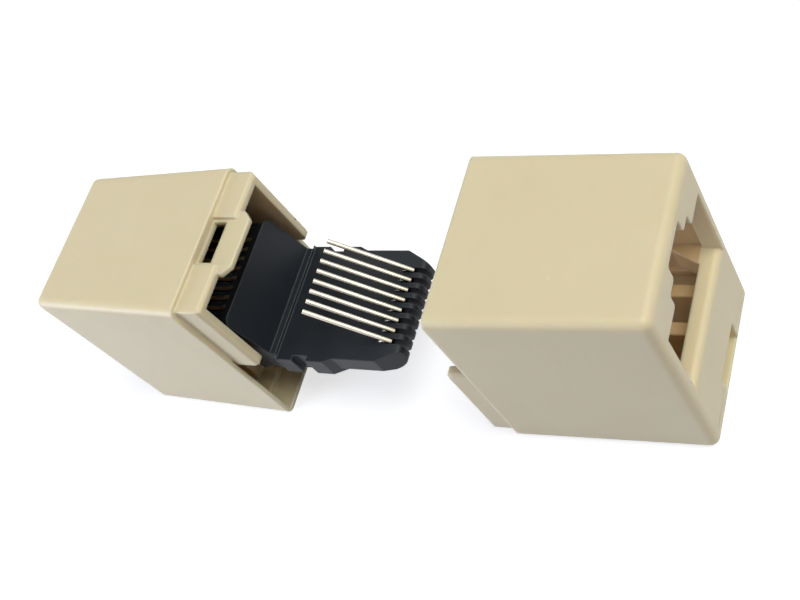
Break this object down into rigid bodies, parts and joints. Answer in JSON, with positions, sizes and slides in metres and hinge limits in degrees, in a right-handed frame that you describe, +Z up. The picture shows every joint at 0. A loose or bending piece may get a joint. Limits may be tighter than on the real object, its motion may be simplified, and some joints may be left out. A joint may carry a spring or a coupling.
{
  "type": "rj45 inline coupler",
  "caption": "Inline coupler for modular plugs, pulled apart: two snap-together ivory halves with stepped jack openings and a black contact carrier with bent wires.",
  "frame": {"origin": "on the resting surface, midway between the two halves", "axes": "+X along the insertion axis from the left half to the right half, +Y to the back, +Z up"},
  "size_m": [0.0588, 0.0154, 0.02],
  "materials": {
    "ivory_plastic": "satin moulded plastic",
    "black_plastic": "fine satin moulded plastic",
    "contact_metal": "thin gold plating, worn pale"
  },
  "bodies": {
    "root": {"left_housing": "ivory_plastic", "right_housing": "ivory_plastic", "contact_carrier": "black_plastic", "contact_wire_1": "contact_metal", "contact_wire_2": "contact_metal", "contact_wire_3": "contact_metal", "contact_wire_4": "contact_metal", "contact_wire_5": "contact_metal", "contact_wire_6": "contact_metal", "contact_wire_7": "contact_metal", "contact_wire_8": "contact_metal"}
  },
  "joints": []
}
